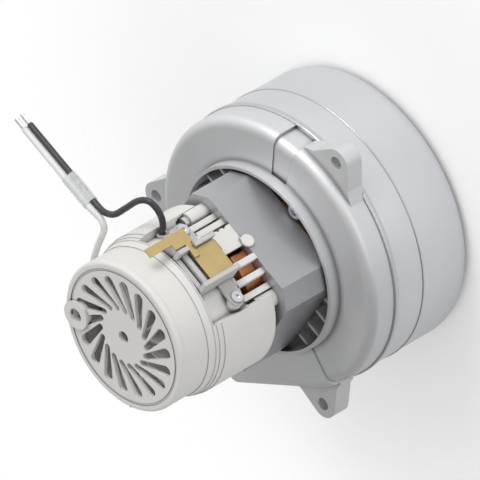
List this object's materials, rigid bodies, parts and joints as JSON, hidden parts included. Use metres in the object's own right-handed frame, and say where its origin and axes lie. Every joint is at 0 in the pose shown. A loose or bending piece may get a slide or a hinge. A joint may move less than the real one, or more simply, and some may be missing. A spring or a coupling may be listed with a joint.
{
  "type": "vacuum motor",
  "caption": "Two-stage bypass vacuum motor with ventilated cap, brush-end housing, laminated stator, cast bracket with mounting ears and tangential air horn, steel fan case and two leads",
  "frame": {"origin": "middle of the air inlet, on the flat fan end of the case", "axes": "+Z runs along the motor shaft from the inlet to the vent cap, +X points from the shaft to the first mounting ear"},
  "size_m": [0.1807, 0.2024, 0.168],
  "materials": {
    "case_steel": "satin pressed steel sheet",
    "ring_steel": "rolled plated steel",
    "casting": "as-cast aluminium, fine grain",
    "vane_sheet": "stamped sheet",
    "laminations": "stacked electrical steel with a thin varnish",
    "copper": "enamelled copper wire",
    "housing_plastic": "moulded, fine texture",
    "holder_plastic": "moulded",
    "brass": "stamped",
    "zinc": "zinc plated",
    "spring_steel": "drawn wire",
    "carbon": "pressed carbon",
    "bearing_steel": "ground",
    "shaft_steel": "ground",
    "comm_copper": "turned copper bars",
    "fan_plastic": "moulded",
    "lead_black": "smooth insulation",
    "lead_white": "smooth insulation",
    "tinned": "tinned strands",
    "sleeve": "shrink sleeve"
  },
  "bodies": {
    "motor_frame": {"end_shell": "case_steel", "mid_shell": "case_steel", "guide_vane_stage": "vane_sheet", "rolled_ring": "ring_steel", "bearing_plate": "casting", "fan_bracket": "casting", "plate_screws": "zinc", "stator_core": "laminations", "field_coil_a": "copper", "field_coil_b": "copper", "stator_screws": "zinc", "brush_housing": "housing_plastic", "vent_cap": "housing_plastic", "brush_holder_a": "holder_plastic", "brush_holder_b": "holder_plastic", "brush_box_a": "brass", "brush_box_b": "brass", "terminal_a": "brass", "terminal_b": "brass", "holder_screws": "zinc", "brush_spring_a": "spring_steel", "brush_spring_b": "spring_steel", "lower_bearing_race": "bearing_steel", "upper_bearing_race": "bearing_steel", "lead_a": "lead_black", "lead_b": "lead_white", "lead_cores": "tinned", "lead_sleeve": "sleeve"},
    "rotor": {"shaft": "shaft_steel", "bearing_inner_rings": "bearing_steel", "bearing_balls": "bearing_steel", "armature_core": "laminations", "armature_winding": "copper", "commutator": "comm_copper", "cooling_fan": "fan_plastic", "impeller_1": "vane_sheet", "impeller_2": "vane_sheet", "impeller_spacers": "zinc", "impeller_washers": "zinc", "shaft_nut": "zinc"},
    "carbon_brush_a": {"brush_a": "carbon"},
    "carbon_brush_b": {"brush_b": "carbon"}
  },
  "joints": [
    {"name": "rotor_spin", "type": "hinge", "parent": "motor_frame", "child": "rotor", "pos_m": [0, 0, 0], "axis": [0, 0, 1], "continuous": true},
    {"name": "brush_a_slide", "type": "slide", "parent": "motor_frame", "child": "carbon_brush_a", "axis": [1, 0, 0], "range_m": [0, 0.004], "stiffness_N_per_m": 200, "springref_m": -0.01, "deforming": ["brush_spring_a"]},
    {"name": "brush_b_slide", "type": "slide", "parent": "motor_frame", "child": "carbon_brush_b", "axis": [-1, 0, 0], "range_m": [0, 0.004], "stiffness_N_per_m": 200, "springref_m": -0.01, "deforming": ["brush_spring_b"]}
  ]
}
